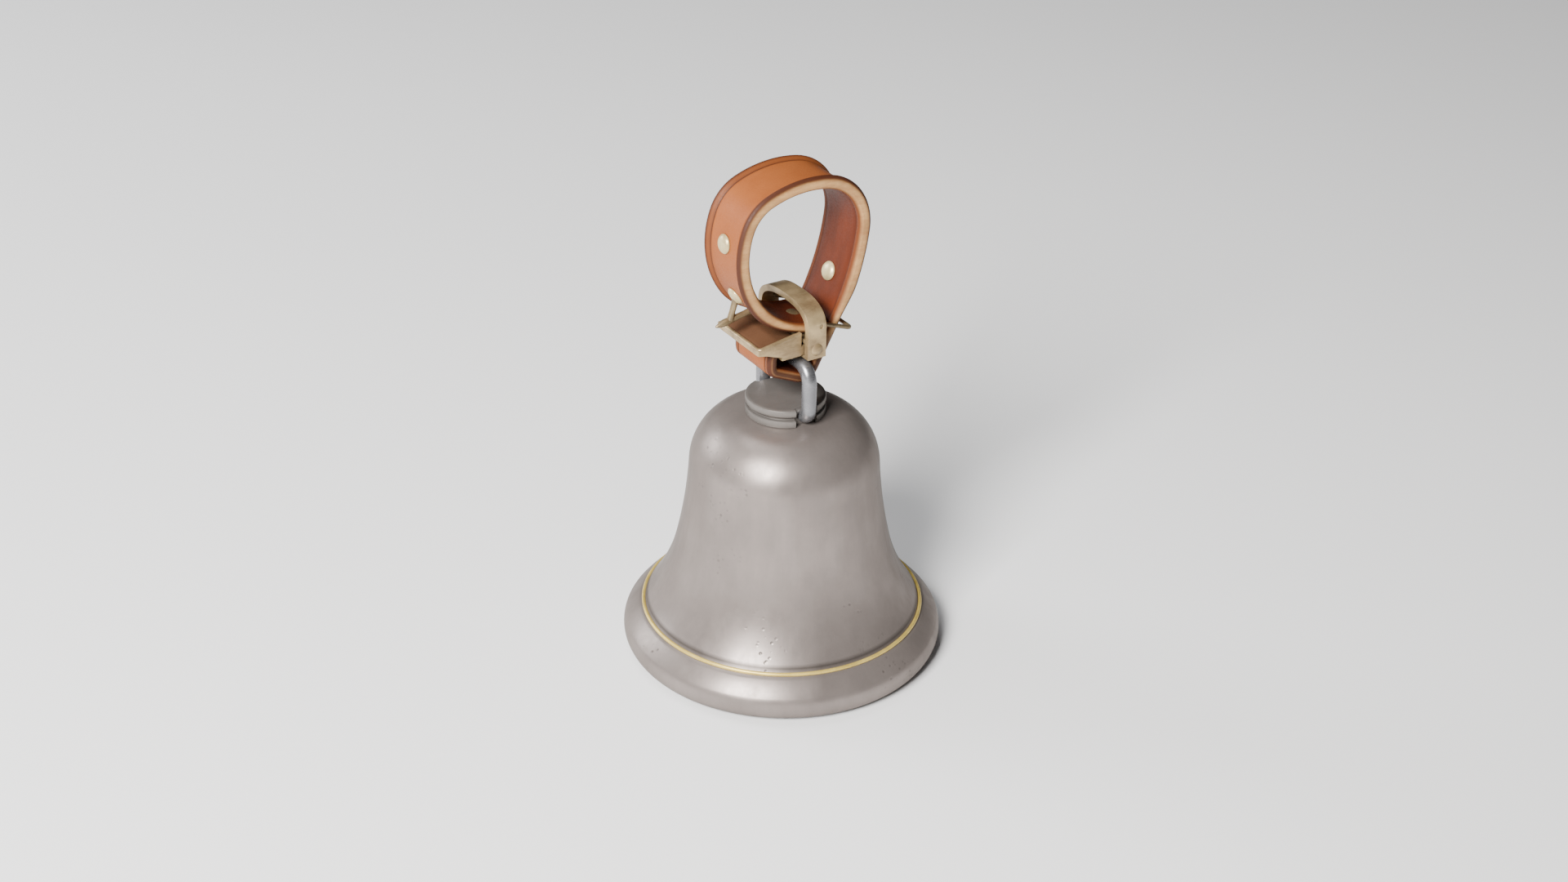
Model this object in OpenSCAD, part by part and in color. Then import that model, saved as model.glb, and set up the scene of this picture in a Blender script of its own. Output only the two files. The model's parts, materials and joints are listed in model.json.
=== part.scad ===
// Hand bell with a buckled leather carrying strap.
// Millimetres, +Z up, origin at the centre of the mouth on the plane the lip rests on.
// X runs across the strap loop, Y runs along the strap's width and the bail's top bar.

/* [Assembly] */
// Which piece to draw

/* [Bell] */
// Largest radius of the lip
lip_r = 62.5; // [55:0.5:70]
// Radius of the rolled lip bead
lip_bead_r = 7.3; // [6:0.1:9]
// Wall thickness at the waist
wall = 4.2; // [3:0.1:6]
// Radius of the crease where the waist meets the lip
crease_r = 54.0; // [48:0.5:60]
// Height of that crease
crease_z = 18.4; // [14:0.1:24]
// Radius of the crown hole for the boss spigot
crown_hole_r = 4.1; // [3:0.1:6]
// Cross-section radius of the brass inlay ring
inlay_r = 0.75; // [0.5:0.05:1.2]

/* [Crown boss and bail] */
// Radius of the boss discs
boss_r = 15.3; // [12:0.1:18]
// Height of the boss top face
boss_top = 108.3; // [100:0.1:120]
// Height of the boss underside
boss_bottom = 100.9; // [95:0.1:105]
// Height of the bail's pivot
bail_pivot_z = 104.7; // [102:0.1:107]
// Radius of the bail's round bar
bail_bar_r = 2.8; // [2:0.1:4]
// Half distance between the bail's legs
bail_leg_y = 15.9; // [14:0.1:20]
// Height of the bail's top bar
bail_bar_z = 125.2; // [118:0.1:132]
// Bend radius of the bail
bail_bend_r = 6.5; // [4:0.5:9]
// Radius of the bail's pivot pins
bail_pin_r = 1.6; // [1:0.05:2.5]

/* [Clapper] */
// Height of the clapper's pivot
clapper_pivot_z = 74; // [65:0.5:85]
// Radius of the clapper ball
ball_r = 12; // [8:0.5:16]
// Height of the ball's centre
ball_z = 20; // [16:0.5:30]
// Radius of the clapper rod
rod_r = 2.5; // [1.5:0.1:4]
// Radius of the clapper's pivot pin
clapper_pin_r = 2.0; // [1.5:0.1:3]

/* [Strap] */
// Strap width
strap_w = 25; // [18:0.5:30]
// Leather thickness
strap_t = 3.8; // [2.5:0.1:5]
// Height of the raised edge bead on the upper loop
bead_h = 1.4; // [0:0.1:2.5]
// Width of that edge bead
bead_w = 2.4; // [1:0.1:4]
// Radius of the rivet caps
cap_r = 3.6; // [2.5:0.1:5]
// Height of the rivet caps
cap_h = 1.8; // [1:0.1:3]

/* [Buckle] */
// Inner half width of the frame
frame_in_y = 14.9; // [13:0.1:18]
// Frame wall thickness
frame_wall = 2.4; // [1.5:0.1:4]
// Left face of the frame
frame_x0 = -1.8; // [-4:0.1:0]
// Right face of the frame
frame_x1 = 6.0; // [4:0.1:9]
// Height of the frame's underside
frame_z0 = 129.5; // [127:0.1:132]
// Height of the bridge's top
frame_top = 150.3; // [146:0.1:156]
// Radius of the keeper wire
keeper_r = 0.8; // [0.5:0.1:1.5]

/* [Hidden] */
$fn = 96;
eps = 0.01;
running = 0.05;
half_t = strap_t / 2;
metal = [0.62, 0.59, 0.56];
steel = [0.75, 0.76, 0.78];
brass = [0.72, 0.62, 0.42];
hide = [0.62, 0.34, 0.2];

// ---- chains of arcs: [turn radius (0 = straight), turn to the right in degrees or length] ----
function seg_len(s) = s[0] == 0 ? s[1] : s[0] * abs(s[1]) * PI / 180;
// One step of a chain from state [x, z, heading] after distance d along segment s
function advance(p, s, d) =
    s[0] == 0
    ? [p[0] + d * cos(p[2]), p[1] + d * sin(p[2]), p[2]]
    : let (side = s[1] > 0 ? 1 : -1, turn = -side * d / s[0] * 180 / PI, r = -side * s[0])
      [p[0] + r * (sin(p[2] + turn) - sin(p[2])),
       p[1] - r * (cos(p[2] + turn) - cos(p[2])),
       p[2] + turn];
// State at the start of segment i
function state(chain, start, i) =
    i == 0 ? start : advance(state(chain, start, i - 1), chain[i - 1], seg_len(chain[i - 1]));
// Every sampled state along the chain
function samples(chain, start, step) = concat(
    [for (i = [0 : len(chain) - 1])
        let (p = state(chain, start, i), n = chain[i][0] == 0 ? 1 : ceil(abs(chain[i][1]) / step))
        for (k = [0 : n - 1]) advance(p, chain[i], seg_len(chain[i]) * k / n)],
    [state(chain, start, len(chain))]);
// A sample moved sideways: positive is to the left of travel
function aside(p, d) = [p[0] - d * sin(p[2]), p[1] + d * cos(p[2])];
function reversed(v) = [for (i = [len(v) - 1 : -1 : 0]) v[i]];

// ---- bell profile: waist sweeps in, shoulder rolls over to the crown ----
bell_chain = [[71.8, 23], [206, 10.14], [23, -53.4], [13.5, -21.2], [40.6, -9.1]];
bell_start = [crease_r, crease_z, 126.6];
bell_line = samples(bell_chain, bell_start, 3);
bell_inner = [for (p = bell_line) aside(p, wall)];
lip_centre = [lip_r - lip_bead_r, lip_bead_r - 0.1];
lip_foot = asin(lip_centre[1] / lip_bead_r);
lip_arc = [for (a = [-lip_foot : 4 : 34])
    [lip_centre[0] + lip_bead_r * cos(a), lip_centre[1] + lip_bead_r * sin(a)]];
crown_in = bell_inner[len(bell_inner) - 1];

module bell_shell() {
    color(metal)
    difference() {
        rotate_extrude()
        polygon(concat(
            [[53.6, 0]],
            lip_arc,
            [[57.6, 15.2], [crease_r + 0.9, crease_z - 1.2]],
            [for (p = bell_line) [p[0], p[1]]],
            [[crown_hole_r, boss_bottom], [crown_hole_r, crown_in[1]]],
            reversed(bell_inner),
            [[51.6, 9], [52.4, 2.4]]));
        translate([0, 0, crease_z - 0.7])
        rotate_extrude()
        translate([crease_r + 0.5, 0])
        circle(r = inlay_r, $fn = 24);
    }
}

module inlay_ring() {
    color(brass)
    translate([0, 0, crease_z - 0.7])
    rotate_extrude()
    translate([crease_r + 0.5, 0])
    circle(r = inlay_r, $fn = 24);
}

// ---- crown boss with side notches and blind cross bores for the bail's pins ----
notch_y = 12.6;
notch_half = 4.6;
bore_end_y = 7.6;
spigot_end = 81;

module bail_boss() {
    color(metal)
    difference() {
        union() {
            translate([0, 0, boss_top - 2.9]) cylinder(r = boss_r, h = 2.3);
            translate([0, 0, boss_top - 0.6]) cylinder(r1 = boss_r, r2 = boss_r - 0.6, h = 0.6);
            translate([0, 0, boss_bottom]) cylinder(r = boss_r, h = 3.1);
            translate([0, 0, boss_bottom]) cylinder(r = boss_r - 0.8, h = boss_top - boss_bottom - 0.5);
            translate([0, 0, spigot_end]) cylinder(r = crown_hole_r - 0.1, h = boss_bottom - spigot_end + 1);
        }
        for (side = [-1, 1]) {
            translate([-notch_half, side > 0 ? notch_y : -notch_y - 6, boss_bottom - 1])
            cube([2 * notch_half, 6, boss_top - boss_bottom + 2]);
            translate([0, side * (bore_end_y + 4), bail_pivot_z])
            rotate([90, 0, 0])
            cylinder(r = bail_pin_r + running, h = 8, center = true, $fn = 48);
        }
    }
}

washer_t = 1.6;
nut_h = 6.5;

module crown_washer() {
    color(steel)
    translate([0, 0, crown_in[1] - washer_t])
    difference() {
        cylinder(r = 9, h = washer_t);
        translate([0, 0, -1]) cylinder(r = crown_hole_r, h = washer_t + 2);
    }
}

module crown_nut() {
    color(steel)
    translate([0, 0, crown_in[1] - washer_t - nut_h])
    difference() {
        cylinder(r = 7.5, h = nut_h, $fn = 6);
        translate([0, 0, -1]) cylinder(r = crown_hole_r - 0.1, h = nut_h + 2);
    }
}

// ---- clapper hanger and clapper ----
clevis_top = crown_in[1] - washer_t - nut_h - 0.1;
ear_gap = 5.2;
ear_t = 3;

module clapper_clevis() {
    color(steel)
    difference() {
        union() {
            translate([0, 0, 80]) cylinder(r = 7, h = clevis_top - 80);
            for (side = [-1, 1])
                translate([0, side * (ear_gap + ear_t) / 2, 0]) {
                    translate([-5, -ear_t / 2, clapper_pivot_z]) cube([10, ear_t, 80.5 - clapper_pivot_z]);
                    translate([0, 0, clapper_pivot_z])
                    rotate([90, 0, 0])
                    cylinder(r = 5, h = ear_t, center = true);
                }
        }
        translate([0, 0, spigot_end]) cylinder(r = crown_hole_r - 0.1, h = 20);
        translate([0, 0, clapper_pivot_z])
        rotate([90, 0, 0])
        cylinder(r = clapper_pin_r, h = 30, center = true);
    }
}

pin_reach = ear_gap / 2 + ear_t;

module clapper_pin() {
    color(steel)
    translate([0, 0, clapper_pivot_z])
    rotate([90, 0, 0]) {
        translate([0, 0, -pin_reach - 2.2]) cylinder(r = clapper_pin_r, h = 2 * pin_reach + 2.2);
        translate([0, 0, pin_reach]) cylinder(r = 3.4, h = 1.4);
    }
}

module pin_clip() {
    color(steel)
    translate([0, pin_reach + 0.8, clapper_pivot_z])
    rotate([90, 0, 0])
    difference() {
        cylinder(r = 3.4, h = 0.8);
        translate([0, 0, -1]) cylinder(r = clapper_pin_r, h = 3);
    }
}

module clapper_rod() {
    color(steel)
    difference() {
        union() {
            translate([0, 0, clapper_pivot_z])
            rotate([90, 0, 0])
            cylinder(r = 4.6, h = ear_gap - 0.6, center = true);
            translate([0, 0, 5.6]) cylinder(r = rod_r - 0.3, h = clapper_pivot_z - 5.6 - 3);
            translate([0, 0, ball_z + ball_r]) cylinder(r = 3.2, h = 1.6);
        }
        translate([0, 0, clapper_pivot_z])
        rotate([90, 0, 0])
        cylinder(r = clapper_pin_r + running, h = 20, center = true);
    }
}

module clapper_ball() {
    color(metal)
    difference() {
        union() {
            translate([0, 0, ball_z]) sphere(r = ball_r);
            translate([0, 0, ball_z - ball_r]) cylinder(r = 4.6, h = 3);
            translate([0, 0, ball_z + ball_r - 3]) cylinder(r = 4.2, h = 3);
        }
        translate([0, 0, -1]) cylinder(r = rod_r - 0.3, h = 60);
    }
}

module clapper_nut() {
    color(steel)
    translate([0, 0, ball_z - ball_r - 3])
    difference() {
        cylinder(r = 4.4, h = 3, $fn = 6);
        translate([0, 0, -1]) cylinder(r = rod_r - 0.3, h = 6);
    }
}

// ---- bail: squared loop of round bar whose feet turn inwards and carry the pins ----
foot_bend_r = 3.2;
foot_end_y = bail_leg_y - foot_bend_r;

module bail() {
    color(steel)
    for (side = [-1, 1]) mirror([0, side < 0 ? 1 : 0, 0]) {
        translate([0, bail_leg_y, bail_pivot_z + foot_bend_r])
        cylinder(r = bail_bar_r, h = bail_bar_z - bail_bend_r - bail_pivot_z - foot_bend_r);
        translate([0, foot_end_y, bail_pivot_z + foot_bend_r])
        rotate([90, 0, 90])
        rotate_extrude(angle = -90)
        translate([foot_bend_r, 0])
        circle(r = bail_bar_r, $fn = 64);
        translate([0, bail_leg_y - bail_bend_r, bail_bar_z - bail_bend_r])
        rotate([90, 0, 90])
        rotate_extrude(angle = 90)
        translate([bail_bend_r, 0])
        circle(r = bail_bar_r, $fn = 64);
        translate([0, -eps, bail_bar_z])
        rotate([-90, 0, 0])
        cylinder(r = bail_bar_r, h = bail_leg_y - bail_bend_r + 2 * eps);
        translate([0, bore_end_y + 0.4, bail_pivot_z])
        rotate([-90, 0, 0])
        cylinder(r = bail_pin_r, h = foot_end_y - bore_end_y, $fn = 48);
    }
}

// ---- strap: one length, from under the bridge, round the hand loop, down round the bail ----
run_z = 138.9;
strap_start = [9.6, run_z, 180];
strap_chain = [[0, 2.46], [30.74 + half_t, 110.58], [13.71 + half_t, 46.88], [40.8 + half_t, 32.58],
               [17.23 + half_t, 86.95], [92.81 + half_t, 20.72], [0, 20.62], [5.56, 86.3],
               [0, 10.36], [3, 66], [0, 2.83], [3, 90], [0, 8.5]];
strap_line = samples(strap_chain, strap_start, 5);
// The hand loop alone carries the raised edge bead
loop_first = 8;
loop_last = 63;
function bead(i) =
    i < loop_first || i > loop_last ? 0
    : bead_h * min(1, (i - loop_first) / 6, (loop_last - i) / 3);

module strap_band(width) {
    rotate([90, 0, 0])
    linear_extrude(height = width, center = true)
    polygon(concat(
        [for (p = strap_line) aside(p, half_t)],
        reversed([for (p = strap_line) aside(p, -half_t)])));
}

module strap_bead() {
    rotate([90, 0, 0])
    linear_extrude(height = bead_w)
    polygon(concat(
        [for (i = [loop_first : loop_last]) aside(strap_line[i], half_t + bead(i))],
        reversed([for (i = [loop_first : loop_last]) aside(strap_line[i], -half_t + 1)])));
}

// Distances along the strap of each rivet and of the adjustment hole
function spot(i) = advance(state(strap_chain, strap_start, i[0]), strap_chain[i[0]], i[1]);
rivet_spots = [[1, 33.5], [1, 54.7], [5, 20.5]];
hole_spot = [4, 26.4];

// Stand a child on the strap, its +Z pointing away from the hand loop
module on_strap(place) {
    p = spot(place);
    translate([p[0], 0, p[1]])
    rotate([0, -p[2], 0])
    children();
}

// Inner edges are pared to a cone about the bail's top bar, so they clear its bends as the strap swings
pare_y = 10.9;
pare_r1 = 3.45;
pare_r2 = 5.0;

module strap() {
    color(hide)
    difference() {
        union() {
            strap_band(strap_w);
            translate([0, -strap_w / 2 + bead_w, 0]) strap_bead();
            translate([0, strap_w / 2, 0]) strap_bead();
        }
        for (place = rivet_spots) on_strap(place) cylinder(r = 1.5, h = 12, center = true, $fn = 32);
        on_strap(hole_spot) cylinder(r = 1.5, h = 12, center = true, $fn = 32);
        translate([2, 0, run_z]) cylinder(r = 1.5, h = 12, center = true, $fn = 32);
        translate([-6, 0, 132.9]) cylinder(r = 1.5, h = 6, center = true, $fn = 32);
        for (side = [0, 1])
            mirror([0, side, 0])
            translate([0, pare_y, bail_bar_z])
            rotate([-90, 0, 0])
            cylinder(r1 = pare_r1, r2 = pare_r2, h = 1.7);
    }
}

module dome(radius, height) {
    big = (radius * radius + height * height) / (2 * height);
    intersection() {
        translate([0, 0, height - big]) sphere(r = big, $fn = 48);
        cylinder(r = radius + 1, h = height + 1, $fn = 48);
    }
}

module rivet_caps() {
    color(brass)
    for (place = rivet_spots)
        on_strap(place)
        translate([0, 0, half_t])
        dome(cap_r, cap_h);
}

module rivet_posts() {
    color(brass)
    for (place = rivet_spots)
        on_strap(place) {
            translate([0, 0, -half_t]) cylinder(r = 1.5, h = strap_t, $fn = 32);
            translate([0, 0, -half_t]) rotate([180, 0, 0]) dome(cap_r, cap_h);
        }
}

// ---- hook: a pointed wire arm on a stay, both footed on the strap's outer face ----
hook_r = 1.1;
hook_tip = [-30.7, 143.1];
hook_root = [-17.0, 145.95];
stay_foot = [-22.2, 152.6];
stay_end = [-24.6, 144.6];

module wire(a, b, r1, r2) {
    d = [b[0] - a[0], b[1] - a[1]];
    translate([a[0], 0, a[1]])
    rotate([0, atan2(d[0], d[1]), 0])
    cylinder(r1 = r1, r2 = r2, h = norm(d));
}

module strap_hook() {
    neck = [hook_tip[0] + 4.4, hook_tip[1] + 0.92];
    color(brass) {
        wire(hook_root, neck, hook_r, hook_r);
        translate([neck[0], 0, neck[1]]) sphere(r = hook_r + 0.04);
        wire(neck, hook_tip, hook_r - 0.02, 0.3);
        wire(stay_foot, stay_end, hook_r, hook_r * 0.9);
    }
}

// ---- buckle frame: two legs, a bridge over the strap, a shelf and a floor ----
bridge_z = 140;
bridge_power = 2.6;
function bridge_curve(w, top) = [for (a = [0 : 6 : 180])
    let (c = cos(a), s = sin(a))
    [w * sign(c) * pow(abs(c), 2 / bridge_power), bridge_z + (top - bridge_z) * pow(abs(s), 2 / bridge_power)]];
frame_out_y = frame_in_y + frame_wall;
pivot = [2.1, 133.1];
pivot_r = 1.3;
keeper_pivot = [3.9, 142.0];
shelf_z = 135.5;

module buckle_frame() {
    color(brass)
    difference() {
        union() {
            translate([frame_x0, 0, 0])
            rotate([90, 0, 90])
            linear_extrude(height = frame_x1 - frame_x0)
            polygon(concat(
                [[frame_out_y, frame_z0]],
                bridge_curve(frame_out_y, frame_top),
                [[-frame_out_y, frame_z0], [-frame_in_y, frame_z0]],
                reversed(bridge_curve(frame_in_y, frame_top - frame_wall)),
                [[frame_in_y, frame_z0]]));
            translate([frame_x0, -frame_in_y - eps, frame_z0]) cube([7.1, 2 * frame_in_y + 2 * eps, 1.2]);
            translate([-10, -12.6, frame_z0]) cube([8.3, 25.2, 1.2]);
            translate([frame_x0, -frame_in_y - eps, shelf_z])
            cube([frame_x1 - frame_x0, 2 * frame_in_y + 2 * eps, 1.4]);
        }
        translate([pivot[0], 0, pivot[1]])
        rotate([90, 0, 0])
        cylinder(r = pivot_r, h = 40, center = true, $fn = 32);
        translate([keeper_pivot[0], 0, keeper_pivot[1]])
        rotate([90, 0, 0])
        cylinder(r = keeper_r + running, h = 40, center = true, $fn = 32);
        translate([2, 0, shelf_z - 1]) cylinder(r = 1.5, h = 4, $fn = 32);
        translate([-6, 0, frame_z0 - 1]) cylinder(r = 1.5, h = 4, $fn = 32);
    }
}

module frame_rivets() {
    color(brass) {
        translate([2, 0, shelf_z - 0.8]) cylinder(r = 2.2, h = 0.8, $fn = 32);
        translate([2, 0, shelf_z - 0.1]) cylinder(r = 1.5, h = run_z + half_t - shelf_z + 0.2, $fn = 32);
        translate([2, 0, run_z + half_t]) dome(3.0, 1.4);
        translate([-6, 0, frame_z0 - 0.6]) cylinder(r = 2.4, h = 0.6, $fn = 32);
        translate([-6, 0, frame_z0 - 0.1]) cylinder(r = 1.5, h = 132.9 + half_t - frame_z0 + 0.2, $fn = 32);
        translate([-6, 0, 132.9 + half_t]) dome(2.6, 1.0);
    }
}

// ---- lever: a flanged tray pivoted inside the frame's legs ----
tray_x0 = -21.1;
tray_x1 = -12;
tray_rim_z = 136.9;
// Right end of the tray's leather, low enough to lift under the hand loop
tray_end = [-3.2, 137.0];
inlay_x0 = tray_x0 + 1.4;
tray_slope = 0.165;
flange_y = 12.9;
flange_t = 1.5;
function rim(x) = tray_rim_z + tray_slope * (x - tray_x0);

module tray_slab(x0, x1, drop, thick, half_y) {
    rotate([90, 0, 0])
    linear_extrude(height = 2 * half_y, center = true)
    polygon([[x0, rim(x0) - drop], [x1, rim(x1) - drop],
             [x1, rim(x1) - drop - thick], [x0, rim(x0) - drop - thick]]);
}

module lever_plate() {
    color(brass)
    difference() {
        union() {
            for (side = [-1, 1])
                translate([0, side * (flange_y + flange_t / 2), 0])
                rotate([90, 0, 0])
                linear_extrude(height = flange_t, center = true)
                union() {
                    polygon([[tray_x0, rim(tray_x0)], [-2.9, rim(-2.9)], [-2.9, 134.4], [pivot[0], 135.2],
                             [pivot[0], 131.0], [-2.9, 131.0], [-7.2, 130.5], [-17.6, 134.2],
                             [tray_x0, 134.9]]);
                    translate(pivot) circle(r = 2.1, $fn = 48);
                }
            tray_slab(tray_x0, tray_x1, 1.0, 1.2, flange_y + flange_t / 2);
            rotate([90, 0, 0])
            linear_extrude(height = 2 * flange_y + flange_t, center = true)
            polygon([[tray_x1 - eps, rim(tray_x1) - 1], [tray_end[0], tray_end[1] - 0.5],
                     [tray_end[0], tray_end[1] - 1.15], [tray_x1 - eps, rim(tray_x1) - 2.2]]);
            tray_slab(tray_x0, tray_x0 + 1.3, 0, 2.0, flange_y + flange_t / 2);
        }
        translate([pivot[0], 0, pivot[1]])
        rotate([90, 0, 0])
        cylinder(r = pivot_r + running, h = 40, center = true, $fn = 32);
    }
}

module lever_inlay() {
    color(hide)
    rotate([90, 0, 0])
    linear_extrude(height = 2 * flange_y - 0.2, center = true)
    polygon([[inlay_x0, rim(inlay_x0) - 0.3], [tray_x1, rim(tray_x1) - 0.3], tray_end,
             [tray_end[0], tray_end[1] - 0.49], [tray_x1, rim(tray_x1) - 0.99], [inlay_x0, rim(inlay_x0) - 0.99]]);
}

module lever_pin() {
    color(brass)
    translate([pivot[0], 0, pivot[1]])
    rotate([90, 0, 0]) {
        cylinder(r = pivot_r, h = 2 * frame_out_y, center = true, $fn = 32);
        for (side = [0, 1])
            mirror([0, 0, side])
            translate([0, 0, frame_out_y])
            dome(2.4, 0.9);
    }
}

// ---- keeper: a wire bow hinged in the frame's legs, round the strap's right leg ----
keeper_y = 13.7;
keeper_end = [19.5, 136.2];

module keeper_wire() {
    d = [keeper_end[0] - keeper_pivot[0], keeper_end[1] - keeper_pivot[1]];
    color(brass) {
        for (side = [-1, 1]) {
            translate([0, side * keeper_y, 0]) wire(keeper_pivot, keeper_end, keeper_r, keeper_r);
            translate([keeper_pivot[0], side * keeper_y, keeper_pivot[1]]) sphere(r = keeper_r + 0.04);
            translate([keeper_end[0], side * keeper_y, keeper_end[1]]) sphere(r = keeper_r + 0.04);
            translate([keeper_pivot[0], side * (keeper_y + 1.65), keeper_pivot[1]])
            rotate([90, 0, 0])
            cylinder(r = keeper_r, h = 3.3, center = true);
        }
        translate([keeper_end[0], 0, keeper_end[1]])
        rotate([90, 0, 0])
        cylinder(r = keeper_r, h = 2 * keeper_y, center = true);
    }
}

bell_shell();
inlay_ring();
bail_boss();
crown_washer();
crown_nut();
clapper_clevis();
clapper_pin();
pin_clip();
clapper_rod();
clapper_ball();
clapper_nut();
bail();
strap();
rivet_caps();
rivet_posts();
strap_hook();
buckle_frame();
frame_rivets();
lever_plate();
lever_inlay();
lever_pin();
keeper_wire();
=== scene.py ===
"""Looks for a hand bell with a buckled leather carrying strap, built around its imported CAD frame."""

import json
import logging
import math
from dataclasses import dataclass
from enum import Enum
from typing import Callable, Sequence

import bpy
from mathutils import Matrix, Vector
from mathutils.kdtree import KDTree

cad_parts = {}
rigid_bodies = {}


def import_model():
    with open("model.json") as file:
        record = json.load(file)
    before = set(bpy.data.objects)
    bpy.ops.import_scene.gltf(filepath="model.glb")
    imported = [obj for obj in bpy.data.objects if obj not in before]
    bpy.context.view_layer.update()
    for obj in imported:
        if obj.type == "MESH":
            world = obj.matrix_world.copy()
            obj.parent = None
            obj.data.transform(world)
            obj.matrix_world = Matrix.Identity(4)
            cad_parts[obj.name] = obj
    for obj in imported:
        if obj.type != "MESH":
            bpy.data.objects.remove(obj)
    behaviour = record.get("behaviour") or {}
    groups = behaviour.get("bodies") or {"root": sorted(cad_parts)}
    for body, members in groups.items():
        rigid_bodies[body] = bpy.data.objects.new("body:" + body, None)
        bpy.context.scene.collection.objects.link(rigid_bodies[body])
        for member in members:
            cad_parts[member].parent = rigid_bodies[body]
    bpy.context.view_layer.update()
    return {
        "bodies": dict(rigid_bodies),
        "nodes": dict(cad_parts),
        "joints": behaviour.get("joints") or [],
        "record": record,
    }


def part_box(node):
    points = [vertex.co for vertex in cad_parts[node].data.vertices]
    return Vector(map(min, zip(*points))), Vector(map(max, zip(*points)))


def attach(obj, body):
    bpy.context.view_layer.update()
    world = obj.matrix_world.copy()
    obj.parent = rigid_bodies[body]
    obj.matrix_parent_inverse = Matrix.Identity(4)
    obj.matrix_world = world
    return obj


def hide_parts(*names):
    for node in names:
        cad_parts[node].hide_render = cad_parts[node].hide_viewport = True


LOG = logging.getLogger("hand_bell")
MM = 0.001
State = tuple[float, float, float]
Segment = tuple[float, float]
Point2 = tuple[float, float]
Colour = tuple[float, float, float, float]


# ---------------------------------------------------------------------------
# Arc chains: the same lines the CAD is drawn from, in millimetres and degrees
# ---------------------------------------------------------------------------


@dataclass(frozen=True)
class ArcChain:
    """A line made of straights (radius 0, length) and arcs (radius, degrees turned to the right)."""

    start: State
    segments: tuple[Segment, ...]

    @staticmethod
    def length(segment: Segment) -> float:
        """Length of one segment in millimetres."""
        return segment[1] if segment[0] == 0 else segment[0] * math.radians(abs(segment[1]))

    @staticmethod
    def advance(state: State, segment: Segment, run: float) -> State:
        """Move along one segment.

        Args:
            state: x, z and heading in degrees at the segment's start.
            segment: the straight or arc to follow.
            run: distance along it.

        Returns:
            x, z and heading after that distance.
        """
        x, z, heading = state
        now = math.radians(heading)
        if segment[0] == 0:
            return x + run * math.cos(now), z + run * math.sin(now), heading
        side = 1.0 if segment[1] > 0 else -1.0
        radius = -side * segment[0]
        then = now - side * run / segment[0]
        x += radius * (math.sin(then) - math.sin(now))
        z -= radius * (math.cos(then) - math.cos(now))
        return x, z, math.degrees(then)

    def state_at(self, index: int, run: float) -> State:
        """State at a distance along the numbered segment."""
        state = self.start
        for segment in self.segments[:index]:
            state = self.advance(state, segment, self.length(segment))
        return self.advance(state, self.segments[index], run)

    def samples(self, step: float) -> list[tuple[float, State]]:
        """Evenly spaced states.

        Args:
            step: wanted spacing in millimetres.

        Returns:
            Pairs of distance from the start and state.
        """
        found: list[tuple[float, State]] = []
        state, gone = self.start, 0.0
        for segment in self.segments:
            size = self.length(segment)
            count = max(1, math.ceil(size / step))
            for k in range(count):
                found.append((gone + size * k / count, self.advance(state, segment, size * k / count)))
            state = self.advance(state, segment, size)
            gone += size
        found.append((gone, state))
        return found


def aside(state: State, shift: float) -> Point2:
    """A state moved sideways, positive to the left of travel."""
    turn = math.radians(state[2])
    return state[0] - shift * math.sin(turn), state[1] + shift * math.cos(turn)


def smooth(value: float) -> float:
    """Ease a value between 0 and 1."""
    value = min(1.0, max(0.0, value))
    return value * value * (3.0 - 2.0 * value)


# ---------------------------------------------------------------------------
# What the shared frame says, in millimetres
# ---------------------------------------------------------------------------


@dataclass(frozen=True)
class Span:
    """Lowest and highest corner of a CAD node, to a hundredth of a millimetre."""

    low: Vector
    high: Vector

    @classmethod
    def of(cls, node: str) -> "Span":
        """Read a node's box from the frame."""
        corners = [Vector([round(value / MM, 2) for value in corner]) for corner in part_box(node)]
        return cls(*corners)


def pivot_of(frame: dict, joint: str) -> Vector:
    """Where a joint's axis runs at rest.

    Args:
        joint: the joint's name.

    Returns:
        A point on the axis, in millimetres.
    """
    found = next(j for j in frame["record"]["behaviour"]["joints"] if j["name"] == joint)
    return Vector([value / MM for value in found["pos_m"]])


# ---------------------------------------------------------------------------
# Modelling
# ---------------------------------------------------------------------------


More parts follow.
